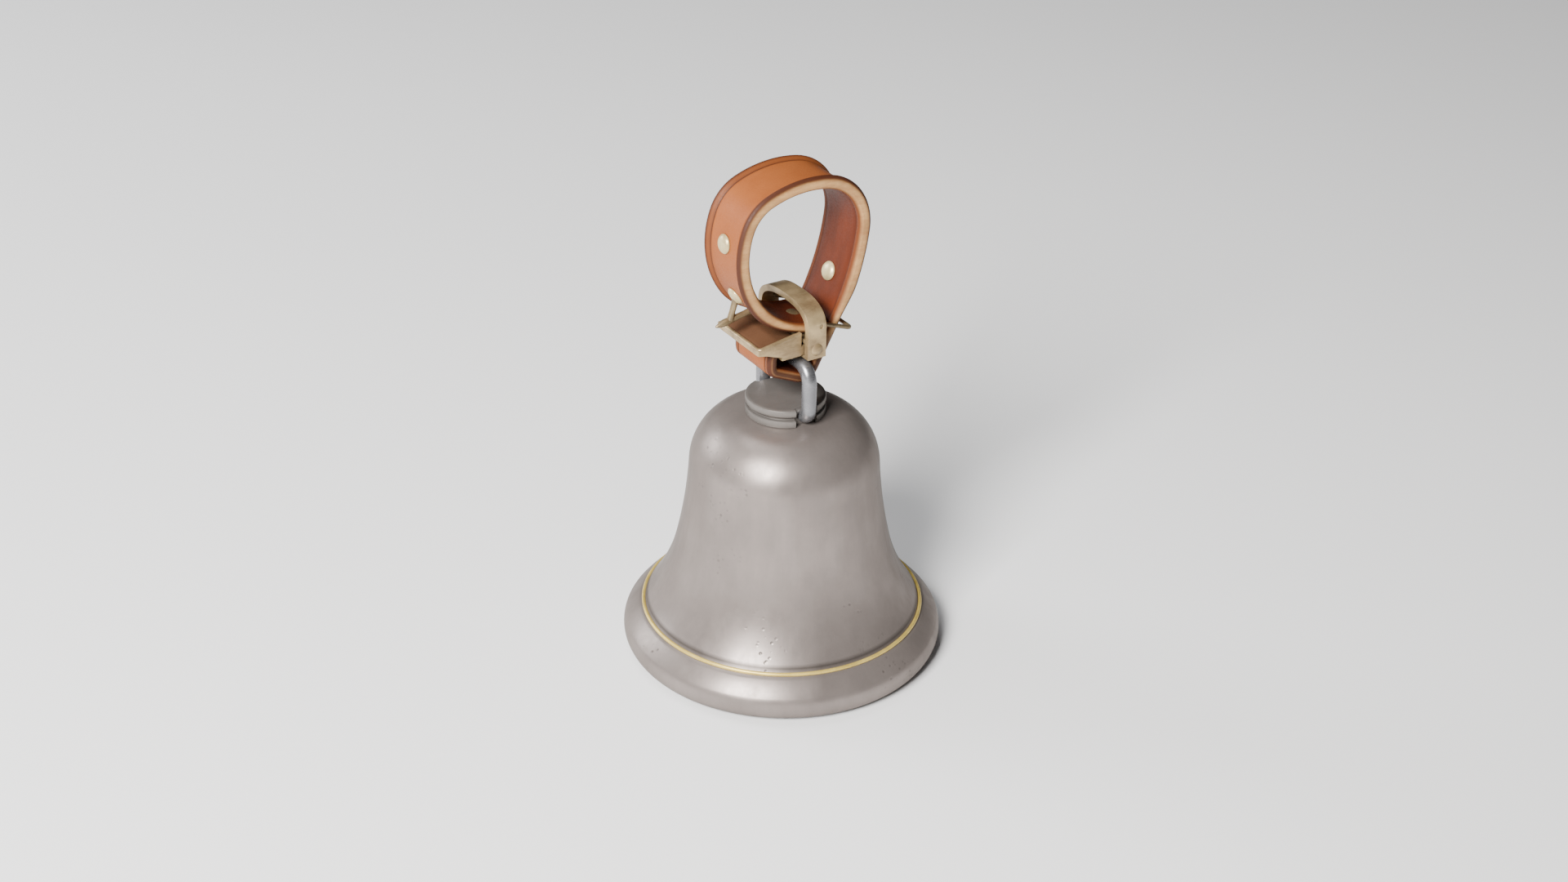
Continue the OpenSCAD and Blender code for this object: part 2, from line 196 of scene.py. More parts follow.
class Bench:
    """Shapes meshes with Blender's own operators and places them in the shared frame."""

    @staticmethod
    def clear() -> None:
        """Leave edit mode and deselect everything."""
        if bpy.context.object and bpy.context.object.mode != "OBJECT":
            bpy.ops.object.mode_set(mode="OBJECT")
        bpy.ops.object.select_all(action="DESELECT")

    @classmethod
    def pick(cls, thing: bpy.types.Object) -> None:
        """Make one object the only selected and the active one."""
        cls.clear()
        thing.select_set(True)
        bpy.context.view_layer.objects.active = thing

    @classmethod
    def edit(cls, thing: bpy.types.Object, work: Callable[[], None]) -> None:
        """Run operators on the whole mesh in edit mode."""
        cls.pick(thing)
        bpy.ops.object.mode_set(mode="EDIT")
        bpy.ops.mesh.select_all(action="SELECT")
        work()
        bpy.ops.object.mode_set(mode="OBJECT")

    @classmethod
    def modify(cls, thing: bpy.types.Object, kind: str, **settings: object) -> None:
        """Add one modifier, set it and apply it."""
        cls.pick(thing)
        modifier = thing.modifiers.new(kind.lower(), kind)
        for key, value in settings.items():
            setattr(modifier, key, value)
        bpy.ops.object.modifier_apply(modifier=modifier.name)

    @classmethod
    def mend(cls, thing: bpy.types.Object, gap: float = 1e-6) -> None:
        """Merge doubled points, then turn every face outwards."""

        def work() -> None:
            """Merge and recalculate."""
            bpy.ops.mesh.remove_doubles(threshold=gap)
            bpy.ops.mesh.select_all(action="SELECT")
            bpy.ops.mesh.normals_make_consistent(inside=False)

        cls.edit(thing, work)

    @classmethod
    def soften(cls, thing: bpy.types.Object, angle: float = 40.0) -> None:
        """Shade smooth below an angle in degrees."""
        cls.pick(thing)
        bpy.ops.object.shade_smooth_by_angle(angle=math.radians(angle))

    @classmethod
    def loft(cls, name: str, rings: Sequence[Sequence[Vector]], capped: bool) -> bpy.types.Object:
        """Bend a grid so that its rows follow closed rings, in metres.

        Args:
            name: the piece's name.
            rings: rows of points of equal count, each a closed ring.
            capped: True closes both ends, False joins the last ring to the first.

        Returns:
            The closed mesh object.
        """
        cls.clear()
        rows = list(rings) if capped else [*rings, rings[0]]
        across, along = len(rows[0]), len(rows)
        bpy.ops.mesh.primitive_grid_add(
            x_subdivisions=across, y_subdivisions=along - 1, size=1.0, calc_uvs=True
        )
        thing = bpy.context.object
        thing.name = name
        thing.data.name = name
        order = sorted(
            range(len(thing.data.vertices)),
            key=lambda i: (round(thing.data.vertices[i].co.y, 5), thing.data.vertices[i].co.x),
        )
        for place, index in enumerate(order):
            j, i = divmod(place, across + 1)
            thing.data.vertices[index].co = rows[j][i % across]
        if capped:
            cls.edit(thing, cls.cap_ends)
        cls.mend(thing)
        return thing

    @staticmethod
    def cap_ends() -> None:
        """Merge the seam of a rolled grid and fill its two open ends."""
        bpy.ops.mesh.remove_doubles(threshold=1e-6)
        bpy.ops.mesh.select_all(action="DESELECT")
        bpy.ops.mesh.select_non_manifold()
        bpy.ops.mesh.fill_holes(sides=0)

    @classmethod
    def lathe(cls, name: str, profile: Sequence[Point2], steps: int = 128) -> bpy.types.Object:
        """Extrude a point along a profile and spin it about the vertical axis.

        Args:
            name: the piece's name.
            profile: closed outline of radius and height in millimetres, or one that ends on the axis.
            steps: divisions of the full turn.

        Returns:
            The spun, closed mesh object.
        """
        cls.clear()
        bpy.ops.mesh.primitive_plane_add(size=0.002)
        thing = bpy.context.object
        thing.name = name
        thing.data.name = name

        def work() -> None:
            """Draw the outline point by point, then spin it."""
            bpy.ops.mesh.merge(type="CENTER")
            first = profile[0]
            bpy.ops.transform.translate(value=(first[0] * MM, 0, first[1] * MM))
            for here, there in zip(profile, profile[1:]):
                step = ((there[0] - here[0]) * MM, 0, (there[1] - here[1]) * MM)
                bpy.ops.mesh.extrude_region_move(TRANSFORM_OT_translate={"value": step})
            bpy.ops.mesh.select_all(action="SELECT")
            bpy.ops.mesh.spin(
                steps=steps, angle=2 * math.pi, center=(0, 0, 0), axis=(0, 0, 1), use_auto_merge=True
            )

        cls.edit(thing, work)
        cls.mend(thing)
        return thing

    @classmethod
    def from_node(cls, name: str, node: bpy.types.Object, bevel: float, angle: float) -> bpy.types.Object:
        """Copy a CAD solid, merge it into clean faces and round its edges.

        Args:
            name: the new piece's name.
            node: the CAD node to copy.
            bevel: edge radius in millimetres.
            angle: edges sharper than this, in degrees, are rounded.

        Returns:
            The finished copy.
        """
        thing = bpy.data.objects.new(name, node.data.copy())
        thing.data.name = name
        bpy.context.scene.collection.objects.link(thing)

        def work() -> None:
            """Merge the loose triangles and dissolve flat faces."""
            bpy.ops.mesh.customdata_custom_splitnormals_clear()
            bpy.ops.mesh.remove_doubles(threshold=2e-6)
            bpy.ops.mesh.select_all(action="SELECT")
            bpy.ops.mesh.dissolve_limited(angle_limit=math.radians(0.8))

        cls.edit(thing, work)
        cls.modify(
            thing, "BEVEL", width=bevel * MM, segments=3, limit_method="ANGLE",
            angle_limit=math.radians(angle), use_clamp_overlap=True,
        )
        cls.soften(thing, 38.0)
        return thing

    @classmethod
    def tube(
        cls, name: str, path: Sequence[Vector], radii: Sequence[float], sides: int = 20
    ) -> bpy.types.Object:
        """Sweep a round section along a path.

        Args:
            name: the piece's name.
            path: centre points in metres.
            radii: section radius in metres at each point.
            sides: points round the section.

        Returns:
            The capped tube.
        """
        rings: list[list[Vector]] = []
        normal = Vector((0, 0, 1))
        for k, here in enumerate(path):
            before = path[max(0, k - 1)]
            after = path[min(len(path) - 1, k + 1)]
            along = (after - before).normalized()
            if k == 0 and abs(along.dot(normal)) > 0.9:
                normal = Vector((1, 0, 0))
            normal = (normal - along * along.dot(normal)).normalized()
            other = along.cross(normal)
            rings.append([
                here + radii[k] * (math.cos(a) * normal + math.sin(a) * other)
                for a in (2 * math.pi * i / sides for i in range(sides))
            ])
        thing = cls.loft(name, rings, True)
        cls.soften(thing, 50.0)
        return thing

    @classmethod
    def join(cls, name: str, parts: Sequence[bpy.types.Object]) -> bpy.types.Object:
        """Join several meshes into one piece."""
        cls.clear()
        for part in parts:
            part.select_set(True)
        bpy.context.view_layer.objects.active = parts[0]
        bpy.ops.object.join()
        parts[0].name = name
        parts[0].data.name = name
        return parts[0]

    @staticmethod
    def place(thing: bpy.types.Object, matrix: Matrix) -> None:
        """Move a mesh by a matrix and keep its object at the origin."""
        thing.data.transform(matrix)
        thing.data.update()


# ---------------------------------------------------------------------------
# Finishes
# ---------------------------------------------------------------------------


class Pattern(Enum):
    """Shader groups shared by several finishes."""

    MOTTLE = "soft_mottle"
    PITS = "cast_pits"
    SCUFFS = "fine_scuffs"
    GRAIN = "hide_grain"


class NodeKit:
    """Small helpers for wiring node trees."""

    def __init__(self, tree: bpy.types.NodeTree) -> None:
        """Keep the tree that the helpers work on."""
        self.tree = tree

    def add(self, kind: str, **inputs: object) -> bpy.types.Node:
        """Add a node and set its sockets by name."""
        made = self.tree.nodes.new(kind)
        for key, value in inputs.items():
            made.inputs[key.replace("_", " ")].default_value = value
        return made

    def link(self, source: bpy.types.NodeSocket, target: bpy.types.NodeSocket) -> None:
        """Link two sockets."""
        self.tree.links.new(source, target)

    def math(self, operation: str, first: object, second: object = 0.5) -> bpy.types.NodeSocket:
        """A maths node on two sockets or numbers, clamped to 0..1."""
        made = self.tree.nodes.new("ShaderNodeMath")
        made.operation = operation
        made.use_clamp = True
        for slot, value in zip(made.inputs, (first, second)):
            if isinstance(value, bpy.types.NodeSocket):
                self.link(value, slot)
            else:
                slot.default_value = value
        return made.outputs[0]

    def remap(self, source: bpy.types.NodeSocket, low: float, high: float,
              to_low: float = 0.0, to_high: float = 1.0) -> bpy.types.NodeSocket:
        """Stretch a range of values onto another."""
        made = self.tree.nodes.new("ShaderNodeMapRange")
        made.clamp = True
        for name, value in (("From Min", low), ("From Max", high), ("To Min", to_low), ("To Max", to_high)):
            made.inputs[name].default_value = value
        self.link(source, made.inputs["Value"])
        return made.outputs["Result"]

    def blend(self, mask: bpy.types.NodeSocket, under: object, over: object) -> bpy.types.NodeSocket:
        """Mix two colours by a mask."""
        made = self.tree.nodes.new("ShaderNodeMix")
        made.data_type = "RGBA"
        self.link(mask, made.inputs["Factor"])
        colours = [s for s in made.inputs if s.type == "RGBA"]
        for slot, value in zip(colours, (under, over)):
            if isinstance(value, bpy.types.NodeSocket):
                self.link(value, slot)
            else:
                slot.default_value = value
        return [s for s in made.outputs if s.type == "RGBA"][0]

    def noise(self, where: bpy.types.NodeSocket, scale: float, detail: float, rough: float = 0.55,
              stretch: tuple[float, float, float] = (1, 1, 1)) -> bpy.types.NodeSocket:
        """A noise value on stretched coordinates."""
        mapping = self.tree.nodes.new("ShaderNodeMapping")
        mapping.inputs["Scale"].default_value = stretch
        self.link(where, mapping.inputs["Vector"])
        made = self.add("ShaderNodeTexNoise", Scale=scale, Detail=detail, Roughness=rough)
        self.link(mapping.outputs["Vector"], made.inputs["Vector"])
        return made.outputs[0]


class PatternShop:
    """Builds each shared shader group once."""

    def __init__(self) -> None:
        """Start with no groups built."""
        self.built: dict[Pattern, bpy.types.NodeTree] = {}

    def get(self, pattern: Pattern) -> bpy.types.NodeTree:
        """The group for a pattern, built on first use."""
        if pattern not in self.built:
            makers = {
                Pattern.MOTTLE: self.mottle,
                Pattern.PITS: self.pits,
                Pattern.SCUFFS: self.scuffs,
                Pattern.GRAIN: self.grain,
            }
            self.built[pattern] = makers[pattern]()
        return self.built[pattern]

    @staticmethod
    def blank(pattern: Pattern, outputs: Sequence[str]) -> tuple[bpy.types.NodeTree, NodeKit, dict]:
        """An empty group with a Vector and a Scale input.

        Args:
            pattern: which group this is.
            outputs: names of its value outputs.

        Returns:
            The tree, a kit for it, and its input and output nodes by name.
        """
        tree = bpy.data.node_groups.new(pattern.value, "ShaderNodeTree")
        tree.interface.new_socket("Vector", in_out="INPUT", socket_type="NodeSocketVector")
        scale = tree.interface.new_socket("Scale", in_out="INPUT", socket_type="NodeSocketFloat")
        scale.default_value = 1.0
        for name in outputs:
            tree.interface.new_socket(name, in_out="OUTPUT", socket_type="NodeSocketFloat")
        ends = {
            "in": tree.nodes.new("NodeGroupInput"),
            "out": tree.nodes.new("NodeGroupOutput"),
        }
        kit = NodeKit(tree)
        sized = tree.nodes.new("ShaderNodeVectorMath")
        sized.operation = "SCALE"
        kit.link(ends["in"].outputs["Vector"], sized.inputs[0])
        kit.link(ends["in"].outputs["Scale"], sized.inputs["Scale"])
        ends["where"] = sized
        return tree, kit, ends

    def mottle(self) -> bpy.types.NodeTree:
        """Cloudy colour change, and the same drawn out up and down."""
        tree, kit, ends = self.blank(Pattern.MOTTLE, ("Cloud", "Streak"))
        where = ends["where"].outputs[0]
        cloud = kit.noise(where, 34.0, 5.0, 0.6)
        streak = kit.noise(where, 150.0, 6.0, 0.65, (1.0, 1.0, 0.12))
        kit.link(kit.remap(cloud, 0.32, 0.70), ends["out"].inputs["Cloud"])
        kit.link(kit.remap(streak, 0.30, 0.72), ends["out"].inputs["Streak"])
        return tree

    def pits(self) -> bpy.types.NodeTree:
        """Sparse small dents left by casting, and a fine orange-peel skin."""
        tree, kit, ends = self.blank(Pattern.PITS, ("Pit", "Skin"))
        where = ends["where"].outputs[0]
        cells = kit.add("ShaderNodeTexVoronoi", Scale=420.0)
        kit.link(where, cells.inputs["Vector"])
        patch = kit.remap(kit.noise(where, 46.0, 3.0), 0.60, 0.72)
        dot = kit.remap(cells.outputs["Distance"], 0.10, 0.30, 1.0, 0.0)
        kit.link(kit.math("MULTIPLY", dot, patch), ends["out"].inputs["Pit"])
        kit.link(kit.noise(where, 900.0, 4.0, 0.7), ends["out"].inputs["Skin"])
        return tree

    def scuffs(self) -> bpy.types.NodeTree:
        """Short rubbed marks and a broad worn mask."""
        tree, kit, ends = self.blank(Pattern.SCUFFS, ("Mark", "Worn"))
        where = ends["where"].outputs[0]
        mark = kit.noise(where, 420.0, 7.0, 0.72, (0.35, 1.0, 1.6))
        worn = kit.noise(where, 90.0, 5.0, 0.6)
        kit.link(kit.remap(mark, 0.42, 0.72), ends["out"].inputs["Mark"])
        kit.link(kit.remap(worn, 0.38, 0.64), ends["out"].inputs["Worn"])
        return tree

    def grain(self) -> bpy.types.NodeTree:
        """Fine pebbled hide with pores."""
        tree, kit, ends = self.blank(Pattern.GRAIN, ("Pebble", "Pore"))
        where = ends["where"].outputs[0]
        cells = kit.add("ShaderNodeTexVoronoi", Scale=1500.0)
        kit.link(where, cells.inputs["Vector"])
        pores = kit.noise(where, 1900.0, 3.0, 0.6)
        kit.link(cells.outputs["Distance"], ends["out"].inputs["Pebble"])
        kit.link(kit.remap(pores, 0.60, 0.74), ends["out"].inputs["Pore"])
        return tree


SHOP = PatternShop()


class Dress:
    """One material in the making: a Principled shader with patterns feeding it."""

    def __init__(self, name: str) -> None:
        """Start a material with its shader and object coordinates."""
        self.material = bpy.data.materials.new(name)
        self.material.use_nodes = True
        self.kit = NodeKit(self.material.node_tree)
        self.shader = self.material.node_tree.nodes["Principled BSDF"]
        self.place = self.kit.add("ShaderNodeTexCoord").outputs["Object"]

    def pattern(self, which: Pattern, scale: float = 1.0) -> bpy.types.Node:
        """Place a shared group on object coordinates."""
        made = self.material.node_tree.nodes.new("ShaderNodeGroup")
        made.node_tree = SHOP.get(which)
        made.inputs["Scale"].default_value = scale
        self.kit.link(self.place, made.inputs["Vector"])
        return made

    def attribute(self, name: str) -> bpy.types.NodeSocket:
        """A value painted on the piece's own mesh."""
        made = self.material.node_tree.nodes.new("ShaderNodeAttribute")
        made.attribute_name = name
        return made.outputs["Fac"]

    def set(self, **values: object) -> None:
        """Set plain values on the shader's own sockets."""
        for key, value in values.items():
            self.shader.inputs[key.replace("_", " ")].default_value = value

    def feed(self, socket: str, source: bpy.types.NodeSocket) -> None:
        """Feed one shader socket from the nodes."""
        self.kit.link(source, self.shader.inputs[socket])

    def band(self, height: float, reach: float, most: float) -> bpy.types.NodeSocket:
        """A mask that peaks at one height.

        Args:
            height: centre of the band in millimetres.
            reach: half its width in millimetres.
            most: the mask's value at the centre.

        Returns:
            The mask's socket.
        """
        split = self.kit.add("ShaderNodeSeparateXYZ")
        self.kit.link(self.place, split.inputs[0])
        rising = self.kit.remap(split.outputs["Z"], (height - reach) * MM, height * MM)
        falling = self.kit.remap(split.outputs["Z"], height * MM, (height + reach) * MM, 1, 0)
        return self.kit.math("MULTIPLY", self.kit.math("MULTIPLY", rising, falling), most)

    def bump(self, heights: Sequence[tuple[bpy.types.NodeSocket, float, float]]) -> None:
        """Stack bump layers.

        Args:
            heights: height socket, strength, and distance in millimetres, from broad to fine.
        """
        last = None
        for height, strength, distance in heights:
            made = self.kit.add("ShaderNodeBump", Strength=strength, Distance=distance * MM)
            self.kit.link(height, made.inputs["Height"])
            if last is not None:
                self.kit.link(last, made.inputs["Normal"])
            last = made.outputs["Normal"]
        self.feed("Normal", last)


def dim(colour: Colour, share: float) -> Colour:
    """A darker or lighter tone of a colour."""
    return (share * colour[0], share * colour[1], share * colour[2], 1)


@dataclass(frozen=True)
class CastMetal:
    """Satin cast bell metal: cloudy, faintly streaked, with small pits, and painted shade in bands at a
    crease and along the foot.
    """

    name: str
    light: Colour
    dark: Colour
    rough: float = 0.4
    metallic: float = 0.8
    pits: float = 1.0
    # crease_shade: height in millimetres of a band of painted shade in a crease or groove; None for none.
    crease_shade: float | None = None
    crease_shade_reach: float = 1.3
    crease_shade_share: float = 0.75
    # foot: strength of painted shade along the lip's bottom edge.
    foot: float = 0.0
    foot_shade_reach: float = 3.4
    soot_and_shade: Colour = (0.045, 0.038, 0.034, 1)

    def make(self) -> bpy.types.Material:
        """Build the material."""
        dress = Dress(self.name)
        mottle = dress.pattern(Pattern.MOTTLE)
        pits = dress.pattern(Pattern.PITS)
        body = dress.kit.blend(mottle.outputs["Cloud"], self.dark, self.light)
        streaked = dress.kit.math("MULTIPLY", mottle.outputs["Streak"], 0.28)
        body = dress.kit.blend(streaked, body, dim(self.dark, 0.78))
        pitted = dress.kit.math("MULTIPLY", pits.outputs["Pit"], 0.55 * self.pits)
        body = dress.kit.blend(pitted, body, self.soot_and_shade)
        # Painted shade: a dark band in the crease above the inlay line on the bell, and in the groove of
        # the boss.
        if self.crease_shade is not None:
            line = dress.band(self.crease_shade, self.crease_shade_reach, self.crease_shade_share)
            body = dress.kit.blend(line, body, self.soot_and_shade)
        # Painted shade: the lip darkens towards its bottom edge, for the dark outline and contact shade
        # there.
        body = dress.kit.blend(dress.band(0.0, self.foot_shade_reach, self.foot), body, self.soot_and_shade)
        dress.feed("Base Color", body)
        satin = dress.kit.remap(mottle.outputs["Streak"], 0, 1, self.rough - 0.05, self.rough + 0.1)
        dress.feed("Roughness", satin)
        dress.set(Metallic=self.metallic, Specular_IOR_Level=0.22, Specular_Tint=(0.42, 0.40, 0.38, 1))
        dress.bump((
            (dress.kit.remap(pits.outputs["Pit"], 0, 1, 1, 0), 0.6 * self.pits, 0.25),
            (pits.outputs["Skin"], 0.14, 0.05),
        ))
        return dress.material


@dataclass(frozen=True)
class Brass:
    """Brass that is dull or rubbed pale in random patches, with short pale rub marks."""

    name: str
    bright: Colour
    dull: Colour
    rough: float = 0.38
    metallic: float = 0.75

    def make(self) -> bpy.types.Material:
        """Build the material."""
        dress = Dress(self.name)
        scuffs = dress.pattern(Pattern.SCUFFS)
        body = dress.kit.blend(scuffs.outputs["Worn"], self.dull, self.bright)
        marked = dress.kit.math("MULTIPLY", scuffs.outputs["Mark"], 0.45)
        body = dress.kit.blend(marked, body, self.bright)
        dress.feed("Base Color", body)
        rubbed = dress.kit.remap(scuffs.outputs["Mark"], 0, 1, self.rough + 0.08, self.rough - 0.08)
        dress.feed("Roughness", rubbed)
        dress.set(Metallic=self.metallic)
        dress.bump(((scuffs.outputs["Worn"], 0.18, 0.12), (scuffs.outputs["Mark"], 0.15, 0.04)))
        return dress.material


@dataclass(frozen=True)
class Steel:
    """Plain turned or drawn steel with faint draw lines."""

    name: str
    colour: Colour
    rough: float = 0.3

    def make(self) -> bpy.types.Material:
        """Build the material."""
        dress = Dress(self.name)
        scuffs = dress.pattern(Pattern.SCUFFS, 1.6)
        body = dress.kit.blend(scuffs.outputs["Worn"], dim(self.colour, 0.8), self.colour)
        dress.feed("Base Color", body)
        drawn = dress.kit.remap(scuffs.outputs["Mark"], 0, 1, self.rough, self.rough + 0.16)
        dress.feed("Roughness", drawn)
        dress.set(Metallic=0.75)
        dress.bump(((scuffs.outputs["Mark"], 0.05, 0.02),))
        return dress.material


@dataclass(frozen=True)
class Hide:
    """Tan harness leather: pebbled faces, burnished rims, raw cut edges and a darker flesh side, with
    painted shade on the rim beads, the flesh side and the lower loop.
    """

    name: str
    face: Colour = (0.215, 0.058, 0.013, 1)
    warm: Colour = (0.32, 0.094, 0.022, 1)
    burnt_and_shade: Colour = (0.038, 0.011, 0.006, 1)
    cut: Colour = (0.50, 0.285, 0.115, 1)
    worn: Colour = (0.30, 0.10, 0.035, 1)
    # flesh: the flesh side's tone, darkened past the leather's own as painted shade for the hand loop's
    # inner face.
    flesh: Colour = (0.070, 0.0125, 0.003, 1)

    def make(self) -> bpy.types.Material:
        """Build the material, led by the masks painted on the strap."""
        dress = Dress(self.name)
        kit = dress.kit
        grain = dress.pattern(Pattern.GRAIN)
        mottle = dress.pattern(Pattern.MOTTLE, 1.6)
        body = kit.blend(mottle.outputs["Cloud"], self.face, self.warm)
        inner = kit.blend(mottle.outputs["Streak"], self.flesh, dim(self.flesh, 1.5))
        body = kit.blend(dress.attribute("flesh_side"), body, inner)
        body = kit.blend(kit.math("MULTIPLY", grain.outputs["Pore"], 0.35), body, self.burnt_and_shade)
        body = kit.blend(kit.math("MULTIPLY", mottle.outputs["Cloud"], 0.22), body, self.burnt_and_shade)
        scuffs = dress.pattern(Pattern.SCUFFS, 1.2)
        raw = kit.blend(scuffs.outputs["Worn"], self.cut, dim(self.cut, 0.7))
        raw = kit.blend(kit.math("MULTIPLY", scuffs.outputs["Mark"], 0.6), raw, self.worn)
        body = kit.blend(dress.attribute("cut_edge"), body, raw)
        # The burnish mask holds real burnishing on the crease lines, and painted shade on the rim beads'
        # sides and the lower loop.
        body = kit.blend(dress.attribute("burnish_and_shade"), body, self.burnt_and_shade)
        dress.feed("Base Color", body)
        dress.feed("Roughness", kit.remap(grain.outputs["Pebble"], 0.1, 0.8, 0.44, 0.60))
        dress.set(Specular_IOR_Level=0.2)
        dress.bump(((mottle.outputs["Cloud"], 0.10, 0.3), (grain.outputs["Pebble"], 0.16, 0.07)))
        return dress.material


def wear(thing: bpy.types.Object, material: bpy.types.Material) -> None:
    """Give a piece one material all over."""
    thing.data.materials.clear()
    thing.data.materials.append(material)


def stand_in(
    piece: bpy.types.Object, material: bpy.types.Material, body: str, node: str
) -> None:
    """Dress a piece and let it stand for a CAD node.

    Args:
        piece: the finished mesh.
        material: its finish.
        body: the CAD body it moves with.
        node: the CAD node it hides.
    """
    wear(piece, material)
    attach(piece, body)
    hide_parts(node)
    LOG.info("%s stands for %s and rides on %s", piece.name, node, body)


@dataclass(frozen=True)
class FinishSet:
    """Every finish the bell uses, made once."""

    bell: bpy.types.Material
    boss: bpy.types.Material
    line: bpy.types.Material
    bright_bar: bpy.types.Material
    plain_steel: bpy.types.Material
    ball: bpy.types.Material
    buckle: bpy.types.Material
    rivets: bpy.types.Material
    wire: bpy.types.Material
    hide: bpy.types.Material
    pad: bpy.types.Material

    @classmethod
    def build(cls) -> "FinishSet":
        """Make every material."""
        return cls(
            # The bell and the boss get painted shade at their crease_shade heights, and the bell along its
            # foot.
            bell=CastMetal(
                "bell_metal_satin", light=(0.285, 0.246, 0.227, 1), dark=(0.21, 0.18, 0.166, 1),
                rough=0.36, metallic=0.62, pits=0.9, crease_shade=19.4, foot=0.9,
            ).make(),
            boss=CastMetal(
                "boss_metal_turned", light=(0.20, 0.183, 0.17, 1), dark=(0.14, 0.128, 0.118, 1),
                rough=0.38, metallic=0.5, pits=0.3, crease_shade=104.7,
            ).make(),
            ball=CastMetal(
                "clapper_ball_cast", light=(0.24, 0.22, 0.205, 1), dark=(0.16, 0.145, 0.135, 1),
                rough=0.5, metallic=0.6, pits=0.8,
            ).make(),
            line=Brass(
                "inlay_line_brass", bright=(0.74, 0.56, 0.15, 1), dull=(0.50, 0.36, 0.08, 1),
                rough=0.34, metallic=0.45,
            ).make(),
            buckle=Brass(
                "buckle_antique_brass", bright=(0.45, 0.333, 0.177, 1), dull=(0.21, 0.145, 0.075, 1),
                rough=0.36, metallic=0.5,
            ).make(),
            rivets=Brass(
                "rivet_pale_brass", bright=(0.70, 0.60, 0.33, 1), dull=(0.42, 0.33, 0.16, 1),
                rough=0.32, metallic=0.4,
            ).make(),
            wire=Brass(
                "wire_aged_brass_and_shade", bright=(0.27, 0.2, 0.105, 1), dull=(0.08, 0.055, 0.03, 1),
                rough=0.36, metallic=0.55,
            ).make(),
            bright_bar=Steel("bail_bright_steel", colour=(0.22, 0.22, 0.232, 1), rough=0.27).make(),
            plain_steel=Steel("inner_steel", colour=(0.30, 0.30, 0.31, 1), rough=0.38).make(),
            hide=Hide("strap_tan_hide").make(),
            pad=Hide(
                "tray_brown_hide", face=(0.070, 0.032, 0.016, 1), warm=(0.115, 0.055, 0.027, 1),
                burnt_and_shade=(0.03, 0.013, 0.008, 1), cut=(0.3, 0.2, 0.12, 1), worn=(0.1, 0.04, 0.02, 1),
                flesh=(0.1, 0.05, 0.03, 1),
            ).make(),
        )


# ---------------------------------------------------------------------------
# The bell
# ---------------------------------------------------------------------------


